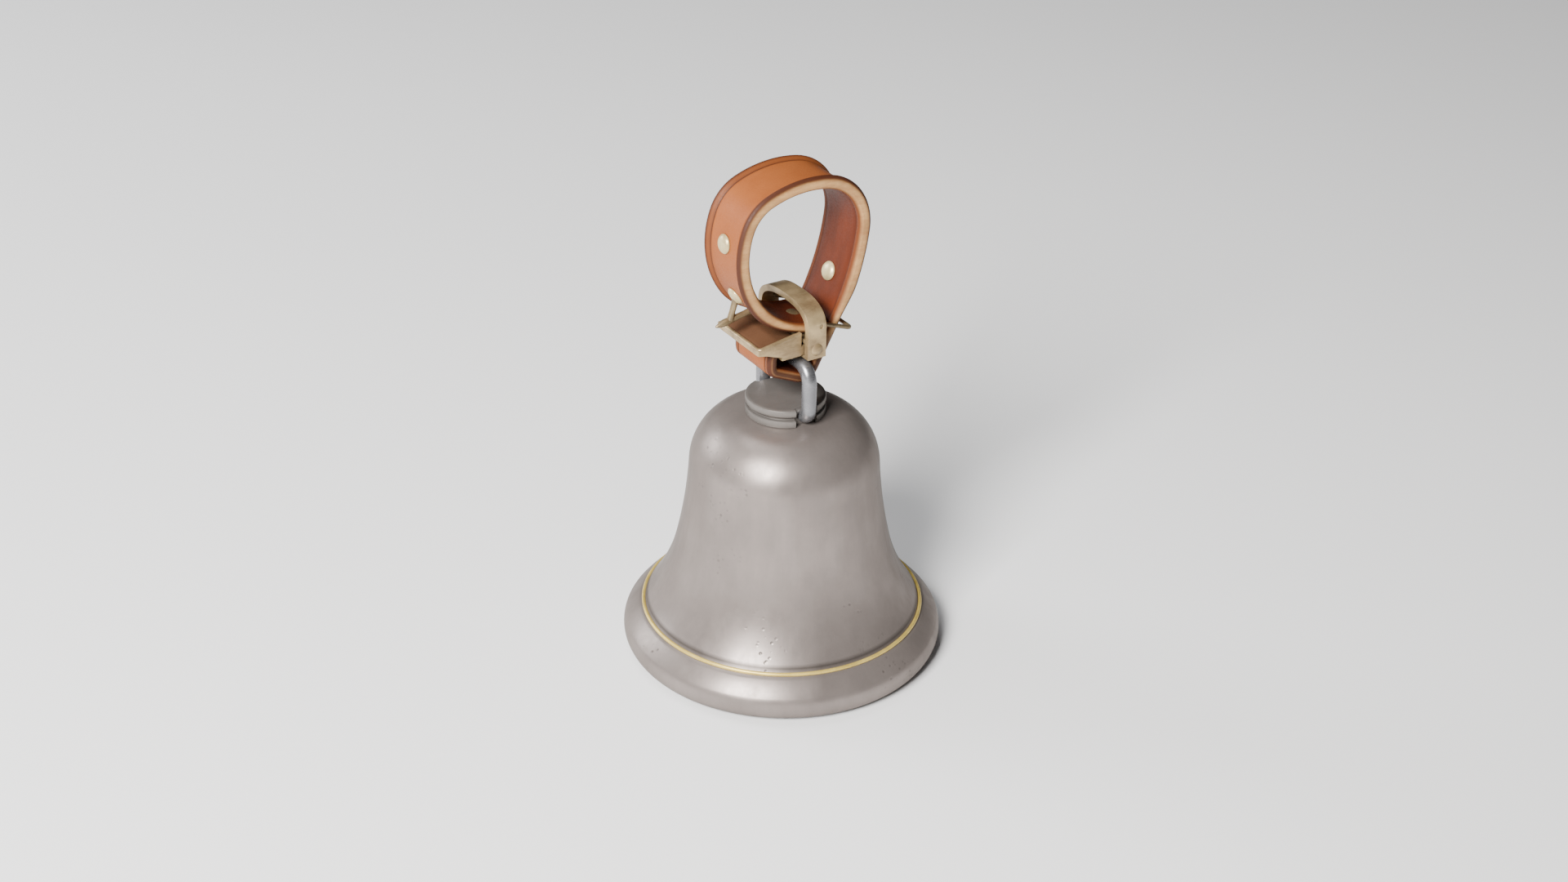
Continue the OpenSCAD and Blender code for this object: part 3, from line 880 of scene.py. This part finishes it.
@dataclass
class Bell:
    """Cast shell, inlay line, crown boss and the hanger inside."""

    finishes: FinishSet
    wall: float = 4.2
    crease: Point2 = (54.0, 18.4)
    bead: float = 7.3
    boss_height: float = 7.4
    hole: float = 4.1
    stud: float = 4.0
    notch: tuple[float, float, float] = (9.2, 6.0, 12.0)
    notch_at: Point2 = (15.6, 3.7)

    def __post_init__(self) -> None:
        """Take the outer sizes from the frame."""
        boss = Span.of("bail_boss")
        self.lip_radius: float = Span.of("bell_shell").high.x
        self.boss_radius: float = boss.high.x
        self.boss_top: float = boss.high.z
        self.stud_foot: float = boss.low.z
        self.boss_bottom: float = self.boss_top - self.boss_height

    def outline(self) -> list[Point2]:
        """The shell's closed section, from the foot of the lip up the outside and down the inside."""
        chain = ArcChain(
            (*self.crease, 126.6), ((71.8, 23), (206, 10.14), (23, -53.4), (13.5, -21.2), (40.6, -9.1))
        )
        line = [state for _, state in chain.samples(1.4)]
        centre = (self.lip_radius - self.bead, self.bead - 0.1)
        foot = math.degrees(math.asin(centre[1] / self.bead))
        turns = [math.radians(-foot + (34 + foot) * k / 26) for k in range(27)]
        lip = [(centre[0] + self.bead * math.cos(a), centre[1] + self.bead * math.sin(a)) for a in turns]
        inside = [aside(state, self.wall) for state in reversed(line)]
        return [
            (53.6, 0.0), *lip, (59.7, 13.1), (58.2, 14.7), (56.6, 16.2), (55.6, 17.0),
            (55.0, 17.15), (54.35, 17.5), (54.0, 18.0),
            *[(s[0], s[1]) for s in line[1:]], (self.hole, self.boss_bottom),
            (self.hole, inside[0][1]), *inside, (50.9, 11.5), (51.6, 8.0), (52.2, 3.6), (52.7, 1.2),
            (53.1, 0.25), (53.6, 0.0),
        ]

    def shell(self) -> None:
        """Spin the shell."""
        shell = Bench.lathe("bell_shell_cast", self.outline(), 160)
        Bench.soften(shell, 32)
        stand_in(shell, self.finishes.bell, "bell", "bell_shell")

    def boss(self) -> None:
        """Turn the stepped boss with rounded rims, then cut its two side notches."""
        r, top, low = self.boss_radius, self.boss_top, self.boss_bottom
        stud, foot = self.stud, self.stud_foot
        profile = [
            (0, foot), (stud - 0.4, foot), (stud, foot + 0.4), (stud, low), (r - 0.35, low),
            (r, low + 0.35), (r, low + 2.4), (r - 0.15, low + 2.85), (r - 0.5, low + 3.1),
            (r - 0.95, low + 3.25),
            (r - 1.1, low + 3.6), (r - 1.1, top - 3.4), (r - 0.95, top - 3.1), (r - 0.4, top - 2.95),
            (r - 0.1, top - 2.7), (r, top - 2.3), (r, top - 0.75), (r - 0.2, top - 0.3),
            (r - 0.65, top - 0.03), (r - 1.3, top), (r * 0.5, top), (0, top),
        ]
        boss = Bench.lathe("crown_boss_turned", profile, 96)
        out, down = self.notch_at
        for side in (-1, 1):
            Bench.clear()
            bpy.ops.mesh.primitive_cube_add(size=1, location=(0, side * out * MM, (top - down) * MM))
            cutter = bpy.context.object
            cutter.scale = [MM * size for size in self.notch]
            bpy.ops.object.transform_apply(location=True, rotation=True, scale=True)
            Bench.modify(cutter, "BEVEL", width=0.9 * MM, segments=3, limit_method="ANGLE")
            Bench.modify(boss, "BOOLEAN", operation="DIFFERENCE", object=cutter, solver="EXACT")
            bpy.data.objects.remove(cutter)
        Bench.soften(boss, 30)
        stand_in(boss, self.finishes.boss, "bell", "bail_boss")

    def dress_cad(self, nodes: dict[str, bpy.types.Object]) -> None:
        """Dress the CAD pieces that are right as they are."""
        wear(nodes["inlay_ring"], self.finishes.line)
        for name in ("crown_washer", "crown_nut", "clapper_clevis", "clapper_pin", "pin_clip"):
            wear(nodes[name], self.finishes.plain_steel)

    def build(self, nodes: dict[str, bpy.types.Object]) -> None:
        """Build the bell's own pieces."""
        self.shell()
        self.boss()
        self.dress_cad(nodes)
        LOG.info("bell shell, boss and inner fittings done")


@dataclass
class Clapper:
    """Rod, ball and end nut that hang inside."""

    finishes: FinishSet
    bore: float = 2.2
    collar: float = 4.2

    def build(self, nodes: dict[str, bpy.types.Object]) -> None:
        """Turn the ball with its two collars and dress the rest."""
        ball_span = Span.of("clapper_ball")
        low, high = ball_span.low.z, ball_span.high.z
        r, z = (high - low) / 2, (high + low) / 2
        bore, collar = self.bore, self.collar
        turns = [math.radians(a) for a in range(-66, 67, 6)]
        profile = [
            (bore, low), (collar, low), (collar + 0.4, low + 0.4),
            *[(r * math.cos(a), z + r * math.sin(a)) for a in turns],
            (collar, high - 0.3), (collar - 0.4, high), (bore, high), (bore, low),
        ]
        ball = Bench.lathe("clapper_ball_turned", profile, 72)
        Bench.soften(ball, 40)
        stand_in(ball, self.finishes.ball, "clapper", "clapper_ball")
        for name in ("clapper_rod", "clapper_nut"):
            wear(nodes[name], self.finishes.plain_steel)
        LOG.info("clapper done")


@dataclass
class Bail:
    """The steel loop hinged in the boss."""

    finishes: FinishSet
    bar: float = 2.8
    bend: float = 6.5
    foot: float = 3.2
    pin: float = 1.6
    pin_end: float = 8.0

    def __post_init__(self) -> None:
        """Take the legs, the top bar and the pivot from the frame."""
        span = Span.of("bail")
        self.leg: float = span.high.y - self.bar
        self.top: float = span.high.z - self.bar
        self.pivot: float = span.low.z + self.bar

    def half_path(self) -> list[tuple[float, float]]:
        """Centre line from the foot of one leg to the middle of the top bar, as y and z."""
        inner = self.leg - self.foot
        line = [(inner, self.pivot), (inner + 0.35, self.pivot)]
        for k in range(1, 11):
            turn = math.radians(90 * k / 10)
            line.append((
                inner + max(0.5, self.foot * math.sin(turn)), self.pivot + self.foot * (1 - math.cos(turn)),
            ))
        line += [(self.leg, self.pivot + self.foot + k * 3.4) for k in (1, 2)]
        for k in range(13):
            turn = math.radians(90 * k / 12)
            line.append((
                self.leg - self.bend + self.bend * math.cos(turn),
                self.top - self.bend + self.bend * math.sin(turn),
            ))
        line.append((4.0, self.top))
        return line

    def build(self) -> None:
        """Sweep the loop, round its feet and add the pins."""
        half = self.half_path()
        full = [*half, *[(-y, z) for y, z in reversed(half)]]
        path = [Vector((0, -y * MM, z * MM)) for y, z in full]
        radii = [self.bar * MM] * len(full)
        radii[0] = radii[-1] = (self.bar - 0.35) * MM
        loop = Bench.tube("bail_loop", path, radii, 32)
        pins = []
        for side in (-1, 1):
            ends = [side * y for y in (self.leg - self.foot, self.pin_end + 0.4, self.pin_end)]
            line = [Vector((0, y * MM, self.pivot * MM)) for y in ends]
            radii_of_pin = [r * MM for r in (self.pin, self.pin, self.pin - 0.3)]
            pins.append(Bench.tube("bail_pin", line, radii_of_pin, 24))
        whole = Bench.join("bail_bent_bar", [loop, *pins])
        stand_in(whole, self.finishes.bright_bar, "bail", "bail")
        LOG.info("bail done")


# ---------------------------------------------------------------------------
# The strap and what is fixed to it
# ---------------------------------------------------------------------------


@dataclass
class Strap:
    """One length of leather with raised rims on its hand loop, and its rivets."""

    finishes: FinishSet
    bar: Vector
    thick: float = 3.8
    rim: float = 1.4
    crest_round: float = 2.0
    under_round: float = 1.6
    crease_at: float = 9.2
    sunk: float = 0.25
    rivet_places: tuple[tuple[int, float], ...] = ((1, 33.5), (1, 54.7), (5, 20.5))

    def __post_init__(self) -> None:
        """Take the strap's width from the frame."""
        span = Span.of("strap")
        self.width: float = span.high.y - span.low.y

    @property
    def chain(self) -> ArcChain:
        """The strap's centre line, from its end under the bridge to its end on the frame's floor."""
        half = self.thick / 2
        return ArcChain(
            (9.6, self.bar.z + 13.7, 180.0),
            ((0, 2.46), (30.74 + half, 110.58), (13.71 + half, 46.88), (40.8 + half, 32.58),
             (17.23 + half, 86.95), (92.81 + half, 20.72), (0, 20.62), (5.56, 86.3),
             (0, 10.36), (3, 66), (0, 2.83), (3, 90), (0, 8.5)),
        )

    def rim_share(self, gone: float) -> float:
        """How much of the raised rim there is at a distance along the strap."""
        return smooth((gone - 12.0) / 22.0) * smooth((166.0 - gone) / 14.0)

    def lower_loop_shade(self, gone: float) -> float:
        """How much painted shade darkens the cut edge, most of all where it turns round the bail under the
        buckle.
        """
        return 0.97 * smooth((gone - 160.0) / 22.0)

    def section(self, share: float) -> list[tuple[float, float, float, float, float]]:
        """The strap's cross-section as a closed ring.

        Args:
            share: how much of the raised rim to show, 0 to 1.

        Returns:
            Points of width, outward offset, and the cut edge, burnish-and-painted-shade and flesh side
            masks.
        """
        half, body = self.width / 2, self.thick / 2
        rim = self.rim * share
        sag = 0.25 * share
        fold = self.crease_at
        right = [
            (0.0, body - sag, 0, 0, 0), (3.0, body - sag, 0, 0, 0), (6.0, body - 0.8 * sag, 0, 0, 0),
            (fold - 1.0, body - 0.2 * sag, 0, 0, 0), (fold - 0.45, body, 0, 0.15, 0),
            (fold - 0.15, body - 0.32, 0, 0.97, 0), (fold + 0.15, body - 0.32, 0, 0.97, 0),
            (fold + 0.5, body + 0.1 * rim, 0, 0.4, 0), (fold + 1.1, body + 0.5 * rim, 0, 0.35, 0),
            (fold + 1.6, body + 0.85 * rim, 0, 0.75, 0),
        ]
        crest = body + rim
        centre = (half - self.crest_round, crest - self.crest_round)
        # The burnish mask darkens the bead's top and outer side around the pale cut edge: painted shade for
        # a rounded edge.
        for k in range(1, 8):
            turn = math.radians(90 - 90 * k / 8)
            raw = smooth((k - 3.5) / 4.0)
            right.append((
                centre[0] + self.crest_round * math.cos(turn),
                centre[1] + self.crest_round * math.sin(turn),
                raw, 0.92 * (1 - smooth((k - 4.6) / 3.8)), 0,
            ))
        low = self.under_round - body
        right += [
            (half, 0.8 * centre[1] + 0.2 * low, 1, 0.05, 0),
            (half, 0.4 * centre[1] + 0.6 * low, 1, 0, 0),
            (half - 0.01, low, 0.95, 0.05, 0),
        ]
        # The burnish mask darkens the lower rounded corner as well: painted shade.
        for k in range(1, 6):
            turn = math.radians(90 * k / 6)
            right.append((
                half - self.under_round * (1 - math.cos(turn)), low - self.under_round * math.sin(turn),
                1 - smooth((k - 1.0) / 4.0), 0.4 * smooth(k / 4.0) * (1 - smooth((k - 4.0) / 2.0)),
                0.5 * smooth((k - 2.0) / 3.0),
            ))
        right += [
            (fold + 1.9, -body, 0, 0.1, 0.62), (fold + 0.9, -body, 0, 0.1, 0.7),
            (fold + 0.5, 0.16 - body, 0, 0.75, 0.9),
            (fold + 0.1, -body, 0, 0.1, 1), (7.0, -body - 0.4 * sag, 0, 0, 1), (3.5, -body - sag, 0, 0, 1),
            (0.0, -body - sag, 0, 0, 1),
        ]
        left = [(-y, *rest) for y, *rest in reversed(right[1:-1])]
        return [*right, *left]

    def band(self) -> None:
        """Loft the leather along its line and paint its masks."""
        rings: list[list[Vector]] = []
        masks: list[tuple[float, float, float]] = []
        for gone, state in self.chain.samples(1.1):
            row = []
            loop_shade = self.lower_loop_shade(gone)
            for y, out, cut, burnish_and_shade, flesh in self.section(self.rim_share(gone)):
                x, z = aside(state, out)
                row.append(Vector((x * MM, y * MM, z * MM)))
                # Painted shade on the lower loop: its cut edge and flesh side darken towards the bail.
                burnish_and_shade = max(burnish_and_shade, loop_shade * cut, 0.5 * loop_shade * flesh)
                masks.append((cut, burnish_and_shade, flesh))
            rings.append(row)
        band = Bench.loft("strap_leather_band", rings, True)
        self.paint(band, [point for row in rings for point in row], masks)
        Bench.soften(band, 70)
        stand_in(band, self.finishes.hide, "strap", "strap")

    def paint(self, band: bpy.types.Object, points: list[Vector], masks: list[tuple]) -> None:
        """Store each drawn point's masks on the vertex nearest to it.

        Args:
            band: the lofted leather.
            points: the points it was drawn through.
            masks: cut edge, burnish-and-painted-shade and flesh side shares, one set for each point.
        """
        tree = KDTree(len(points))
        for index, point in enumerate(points):
            tree.insert(point, index)
        tree.balance()
        names = ("cut_edge", "burnish_and_shade", "flesh_side")
        for name in names:
            band.data.attributes.new(name, "FLOAT", "POINT")
        for index, vertex in enumerate(band.data.vertices):
            mask = masks[tree.find(vertex.co)[1]]
            for name, value in zip(names, mask):
                band.data.attributes[name].data[index].value = value

    def rivet_dome(self, name: str) -> bpy.types.Object:
        """Turn one domed cap with a rolled brim, standing on z = 0."""
        profile = [(0, -0.2), (3.3, -0.2), (3.6, 0.1), (3.62, 0.35), (3.45, 0.62)]
        profile += [(3.3 * math.cos(a), 0.6 + 1.2 * math.sin(a)) for a in (0.25 * k for k in range(1, 6))]
        profile += [(0, 1.8)]
        cap = Bench.lathe(name, profile, 40)
        Bench.soften(cap, 60)
        return cap

    def on_strap(self, index: int, run: float, side: int) -> Matrix:
        """Where a rivet stands on the strap.

        Args:
            index: segment of the chain.
            run: distance along it in millimetres.
            side: 1 for the outer face, -1 for the flesh side.

        Returns:
            A matrix that stands a piece's +Z on that face.
        """
        state = self.chain.state_at(index, run)
        x, z = aside(state, side * self.thick / 2 - self.sunk)
        turn = Matrix.Rotation(-math.radians(state[2]) + (0 if side > 0 else math.pi), 4, "Y")
        return Matrix.Translation(Vector((x * MM, 0, z * MM))) @ turn

    def rivets(self) -> None:
        """Model one cap and copy it to each place."""
        faces = ((1, "rivet_caps_outer", "rivet_caps"), (-1, "rivet_caps_inner", "rivet_posts"))
        for side, name, node in faces:
            caps = []
            for index, run in self.rivet_places:
                cap = self.rivet_dome("rivet_cap")
                Bench.place(cap, self.on_strap(index, run, side))
                caps.append(cap)
            group = Bench.join(name, caps)
            stand_in(group, self.finishes.rivets, "strap", node)

    def hook(self) -> None:
        """Bend the pointed wire hook and its stay."""
        root, tip = self.bar + Vector((-17.0, 0, 20.75)), self.bar + Vector((-30.7, 0, 17.9))
        foot, end = self.bar + Vector((-22.2, 0, 27.4)), self.bar + Vector((-24.6, 0, 19.4))
        shares = (0, 0.1, 0.3, 0.5, 0.66, 0.76, 0.86, 0.94, 0.985, 1.0)
        sizes = (1.3, 1.2, 1.15, 1.15, 1.3, 1.2, 0.95, 0.65, 0.42, 0.18)
        arm = Bench.tube("hook_arm", [MM * root.lerp(tip, s) for s in shares], [MM * r for r in sizes], 20)
        rise = (0, 0.08, 0.3, 0.6, 0.85, 1.0)
        girth = (1.6, 1.3, 1.2, 1.15, 1.25, 1.4)
        stay = Bench.tube("hook_stay", [MM * foot.lerp(end, s) for s in rise], [MM * r for r in girth], 20)
        hook = Bench.join("strap_hook_wire", [arm, stay])
        stand_in(hook, self.finishes.wire, "strap", "strap_hook")

    def build(self) -> None:
        """Build the leather, its rivets and its hook."""
        self.band()
        self.rivets()
        self.hook()
        LOG.info("strap, rivets and hook done")


@dataclass
class Buckle:
    """Frame, tray lever, its pad and pin, and the wire keeper."""

    finishes: FinishSet
    lever_pivot: Vector
    keeper_pivot: Vector
    keeper_radius: float = 0.8
    keeper_half: float = 13.7
    keeper_reach: Point2 = (15.6, -5.8)
    slope: float = 0.165
    fall: float = 0.125
    pad_half: float = 12.75
    pad_thick: float = 0.46

    def __post_init__(self) -> None:
        """Take the tray's place from the frame."""
        tray = Span.of("lever_inlay")
        self.tray_left: float = tray.low.x
        self.tray_right: float = tray.high.x
        self.tray_rim: float = self.lever_pivot.z + 3.8
        self.tray_end: float = self.lever_pivot.z + 3.9

    def tray_rise(self, x: float) -> float:
        """Height of the tray's sloping edge, in millimetres."""
        return self.tray_rim + self.slope * (x - self.tray_left + 1.4)

    def castings(self, nodes: dict[str, bpy.types.Object]) -> None:
        """Round the edges of the frame and the lever."""
        for name, body, edge in (("buckle_frame", "strap", 0.45), ("lever_plate", "lever", 0.3)):
            piece = Bench.from_node(name + "_cast", nodes[name], edge, 40)
            if name == "lever_plate":
                piece = Bench.join(name + "_cast", [piece, self.rolled_rim()])
            stand_in(piece, self.finishes.buckle, body, name)
        wear(nodes["lever_pin"], self.finishes.buckle)
        # The frame rivets wear the dark wire brass as painted shade, so they read dark under the bridge.
        wear(nodes["frame_rivets"], self.finishes.wire)

    def rolled_rim(self) -> bpy.types.Object:
        """The rounded bead along the tray's three raised edges."""
        half, bend = 13.62, 1.3
        left = self.tray_left - 0.7
        quarter = [math.radians(90 * k / 6) for k in range(7)]
        side = [(x, half) for x in (self.tray_right - 0.1, *range(-6, -19, -3))]
        side += [(left + bend - bend * math.sin(a), half - bend + bend * math.cos(a)) for a in quarter]
        side += [(left, 6.0)]
        plan = [*side, *[(x, -y) for x, y in reversed(side)]]
        path = []
        for x, y in plan:
            path.append(MM * Vector((x, y, self.tray_rise(x) - 0.45)))
        radii = [0.9 * MM] * len(path)
        radii[0] = radii[-1] = 0.4 * MM
        return Bench.tube("rolled_rim", path, radii, 16)

    def pad(self) -> None:
        """Crown the tray's leather pad."""
        rows = []
        for k in range(19):
            share = k / 18
            x = self.tray_left + (self.tray_right - self.tray_left) * share
            rise = self.tray_rise(x) - 0.3
            fall = self.tray_end + (self.tray_right - x) * self.fall
            top = min(rise, fall)
            ends = k in (0, 18)
            lift = 0.12 * math.sin(math.pi * share) - (0.2 if ends else 0.0)
            half = self.pad_half - (0.2 if ends else 0.0)
            ys = [half * (-1 + 2 * i / 16) for i in range(17)]
            upper = [Vector((x * MM, y * MM, (top + lift - 0.25 * abs(y / half) ** 8) * MM)) for y in ys]
            lower = [Vector((x * MM, y * MM, (top - self.pad_thick) * MM)) for y in reversed(ys)]
            rows.append([*upper, *lower])
        pad = Bench.loft("tray_leather_pad", rows, True)
        Bench.soften(pad, 50)
        stand_in(pad, self.finishes.pad, "lever", "lever_inlay")

    def keeper(self) -> None:
        """Bend the wire keeper with its rounded corners and turned-out ends."""
        pivot = self.keeper_pivot
        far = pivot + Vector((self.keeper_reach[0], 0, self.keeper_reach[1]))
        side = Vector((0, 1, 0))
        along = (far - pivot).normalized()
        half, bend = self.keeper_half, 2.2
        quarter = [math.radians(90 * k / 8) for k in range(9)]
        start = [pivot + side * (half + 3.2), pivot + side * (half + 1.2)]
        start += [
            pivot + side * (half + 0.8 - 0.8 * math.sin(a)) + along * (0.8 - 0.8 * math.cos(a))
            for a in quarter
        ]
        middle = far - along * bend + side * (half - bend)
        corner = [middle + bend * (side * math.cos(a) + along * math.sin(a)) for a in quarter]
        one = [*start, pivot + along * 5 + side * half, pivot + along * 10 + side * half, *corner]
        two = [Vector((p.x, -p.y, p.z)) for p in reversed(one)]
        path = [MM * p for p in (*one, Vector((far.x, 0, far.z)), *two)]
        wire = Bench.tube("keeper_wire_bow", path, [self.keeper_radius * MM] * len(path), 16)
        stand_in(wire, self.finishes.wire, "keeper", "keeper_wire")

    def build(self, nodes: dict[str, bpy.types.Object]) -> None:
        """Build the buckle."""
        self.castings(nodes)
        self.pad()
        self.keeper()
        LOG.info("buckle done")


# ---------------------------------------------------------------------------
# Studio
# ---------------------------------------------------------------------------


@dataclass
class Studio:
    """Pale floor, soft lights and the camera."""

    azimuth: float = -33.0
    elevation: float = 29.24
    distance: float = 0.8277
    target_height: float = 0.0873
    side_shift: float = -0.00027
    roll: float = 1.074

    def floor(self) -> None:
        """A wide pale sheet."""
        Bench.clear()
        bpy.ops.mesh.primitive_grid_add(x_subdivisions=24, y_subdivisions=24, size=9.0)
        floor = bpy.context.object
        floor.name = "studio_floor"
        dress = Dress("studio_pale")
        soft = dress.kit.noise(dress.place, 1.2, 2.0)
        dress.feed("Base Color", dress.kit.blend(soft, (0.86, 0.86, 0.865, 1), (0.89, 0.89, 0.895, 1)))
        dress.set(Roughness=0.95, Specular_IOR_Level=0.1)
        wear(floor, dress.material)

    def lights(self) -> None:
        """A large key from the left, a weak fill and a pale surround."""
        world = bpy.data.worlds.new("studio_air")
        bpy.context.scene.world = world
        world.use_nodes = True
        air = world.node_tree.nodes["Background"]
        air.inputs["Color"].default_value = (0.95, 0.965, 1.0, 1)
        air.inputs["Strength"].default_value = 0.07
        for name, place, size, power, colour in (
            ("key_light", (-1.05, -0.62, 0.98), 0.55, 74.0, (1.0, 0.985, 0.96)),
            ("top_light", (-0.25, 0.45, 1.8), 0.9, 11.0, (1.0, 1.0, 1.0)),
            ("rim_light", (-0.85, 1.2, 0.6), 0.7, 14.0, (0.96, 0.98, 1.0)),
        ):
            data = bpy.data.lights.new(name, "AREA")
            data.shape = "SQUARE"
            data.size = size
            data.energy = power
            data.color = colour
            lamp = bpy.data.objects.new(name, data)
            bpy.context.scene.collection.objects.link(lamp)
            lamp.location = place
            aim = Vector((0, 0, 0.1)) - Vector(place)
            lamp.rotation_euler = aim.to_track_quat("-Z", "Y").to_euler()

    def camera(self) -> None:
        """Stand the camera at its angle, with its slight tilt."""
        turn, rise, tilt = (math.radians(v) for v in (self.azimuth, self.elevation, self.roll))
        away = Vector((-math.sin(turn), math.cos(turn), 0))
        right = Vector((math.cos(turn), math.sin(turn), 0))
        forward = (away * math.cos(rise) - Vector((0, 0, math.sin(rise)))).normalized()
        up = right.cross(forward)
        place = right * self.side_shift + Vector((0, 0, self.target_height)) - forward * self.distance
        leaned_right = right * math.cos(tilt) + up * math.sin(tilt)
        leaned_up = up * math.cos(tilt) - right * math.sin(tilt)
        data = bpy.data.cameras.new("studio_camera")
        data.lens = 50.0
        data.sensor_width = 36.0
        data.clip_start = 0.02
        camera = bpy.data.objects.new("studio_camera", data)
        bpy.context.scene.collection.objects.link(camera)
        frame = Matrix((leaned_right, leaned_up, -forward)).transposed().to_4x4()
        camera.matrix_world = Matrix.Translation(place) @ frame
        bpy.context.scene.camera = camera

    def build(self) -> None:
        """Set the scene."""
        self.floor()
        self.lights()
        self.camera()
        LOG.info("studio done")


def main() -> None:
    """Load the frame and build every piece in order."""
    logging.basicConfig(level=logging.INFO, format="%(name)s: %(message)s")
    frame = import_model()
    nodes = frame["nodes"]
    finishes = FinishSet.build()
    Bell(finishes).build(nodes)
    Clapper(finishes).build(nodes)
    Bail(finishes).build()
    Strap(finishes, pivot_of(frame, "strap_swing")).build()
    Buckle(finishes, pivot_of(frame, "lever_lift"), pivot_of(frame, "keeper_swing")).build(nodes)
    Studio().build()
    Bench.clear()


if __name__ == "__main__":
    main()
